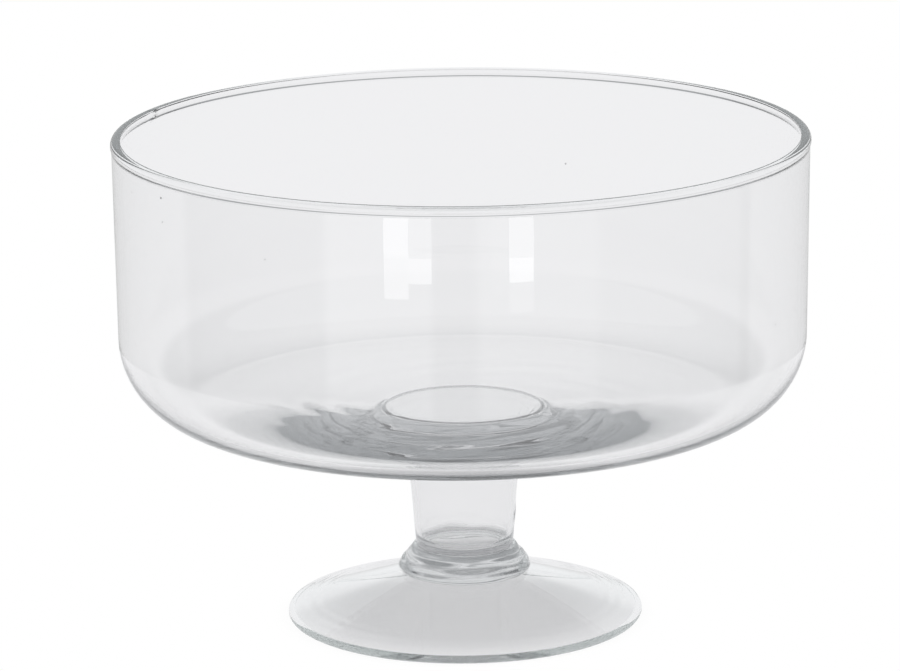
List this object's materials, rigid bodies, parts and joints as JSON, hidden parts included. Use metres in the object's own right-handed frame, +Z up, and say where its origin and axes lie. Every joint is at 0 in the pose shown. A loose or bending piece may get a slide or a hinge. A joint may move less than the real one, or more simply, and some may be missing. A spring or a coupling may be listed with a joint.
{
  "type": "trifle bowl",
  "caption": "Footed clear glass bowl with a straight round side, a rounded heel and a hollow stem on a spread foot, for serving layered desserts.",
  "frame": {"origin": "centre of the ring that the foot stands on, at table level", "axes": "+Z up along the bowl's axis; X and Y lie in the table plane, and the bowl is round about Z"},
  "size_m": [0.19, 0.19, 0.1356],
  "materials": {
    "clear_glass": "fire-polished clear soda glass with a faint grey-green edge tint"
  },
  "bodies": {
    "root": {"bowl": "clear_glass", "stem": "clear_glass", "collar": "clear_glass", "foot": "clear_glass"}
  },
  "joints": []
}
